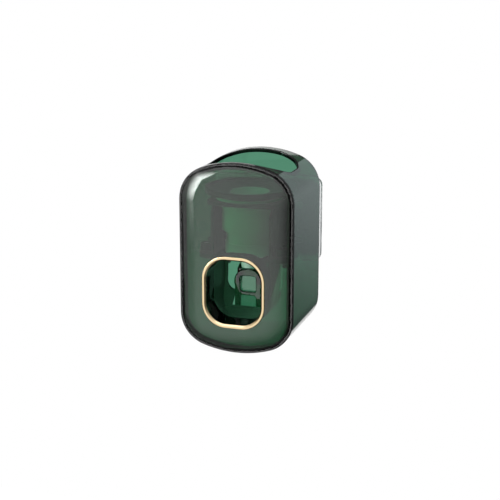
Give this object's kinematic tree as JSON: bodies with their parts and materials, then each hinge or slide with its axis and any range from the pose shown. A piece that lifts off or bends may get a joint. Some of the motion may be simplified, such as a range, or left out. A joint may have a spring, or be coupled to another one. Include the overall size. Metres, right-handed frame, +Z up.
{
  "type": "toothpaste dispenser",
  "caption": "Wall-held toothpaste dispenser of clear green plastic: a tube stands neck-down in the top, and a brush pushed into the window works a lever pump.",
  "frame": {"origin": "centre of the adhesive pad's back face, where it meets the wall", "axes": "+X to the right seen from the front, +Y into the wall, +Z up"},
  "size_m": [0.0676, 0.0666, 0.11],
  "materials": {
    "green_plastic": "clear tinted moulding, polished",
    "dark_plastic": "fine satin moulding",
    "gold_trim": "polished plating",
    "clear_plate": "clear moulding",
    "silicone": "soft and matt",
    "steel": "bright drawn wire",
    "pad_foam": "closed-cell foam"
  },
  "bodies": {
    "wall_mount": {"wall_plate": "clear_plate", "adhesive_pad": "pad_foam"},
    "dispenser": {"housing_shell": "green_plastic", "funnel_dish": "dark_plastic", "tube_grommet": "silicone", "inlet_socket": "green_plastic", "inlet_valve": "silicone", "pump_body": "green_plastic", "return_spring": "steel", "nozzle": "green_plastic", "outlet_valve": "silicone", "pump_frame": "dark_plastic", "frame_screws": "steel", "brush_chamber": "green_plastic", "lever_pin": "steel", "pin_clips": "steel"},
    "cover": {"front_cover": "green_plastic", "trim_ring": "gold_trim"},
    "lever": {"push_lever": "green_plastic"},
    "piston": {"pump_piston": "dark_plastic", "piston_seal": "silicone"}
  },
  "joints": [
    {"name": "hang_lift", "type": "slide", "parent": "wall_mount", "child": "dispenser", "axis": [0, 0, 1], "range_m": [0, 0.009]},
    {"name": "cover_pull", "type": "slide", "parent": "dispenser", "child": "cover", "axis": [0, -1, 0], "range_m": [0, 0.03]},
    {"name": "lever_swing", "type": "hinge", "parent": "dispenser", "child": "lever", "pos_m": [0, -0.0232, -0.0205], "axis": [1, 0, 0], "range_deg": [0, 15], "stiffness_Nm_per_rad": 0.2, "springref_deg": -5.73},
    {"name": "piston_slide", "type": "slide", "parent": "dispenser", "child": "piston", "axis": [0, -1, 0], "range_m": [0, 0.0038], "deforming": ["return_spring"]}
  ],
  "couplings": [
    {"joint": "piston_slide", "follows": "lever_swing", "m_per_rad": 0.0145}
  ]
}
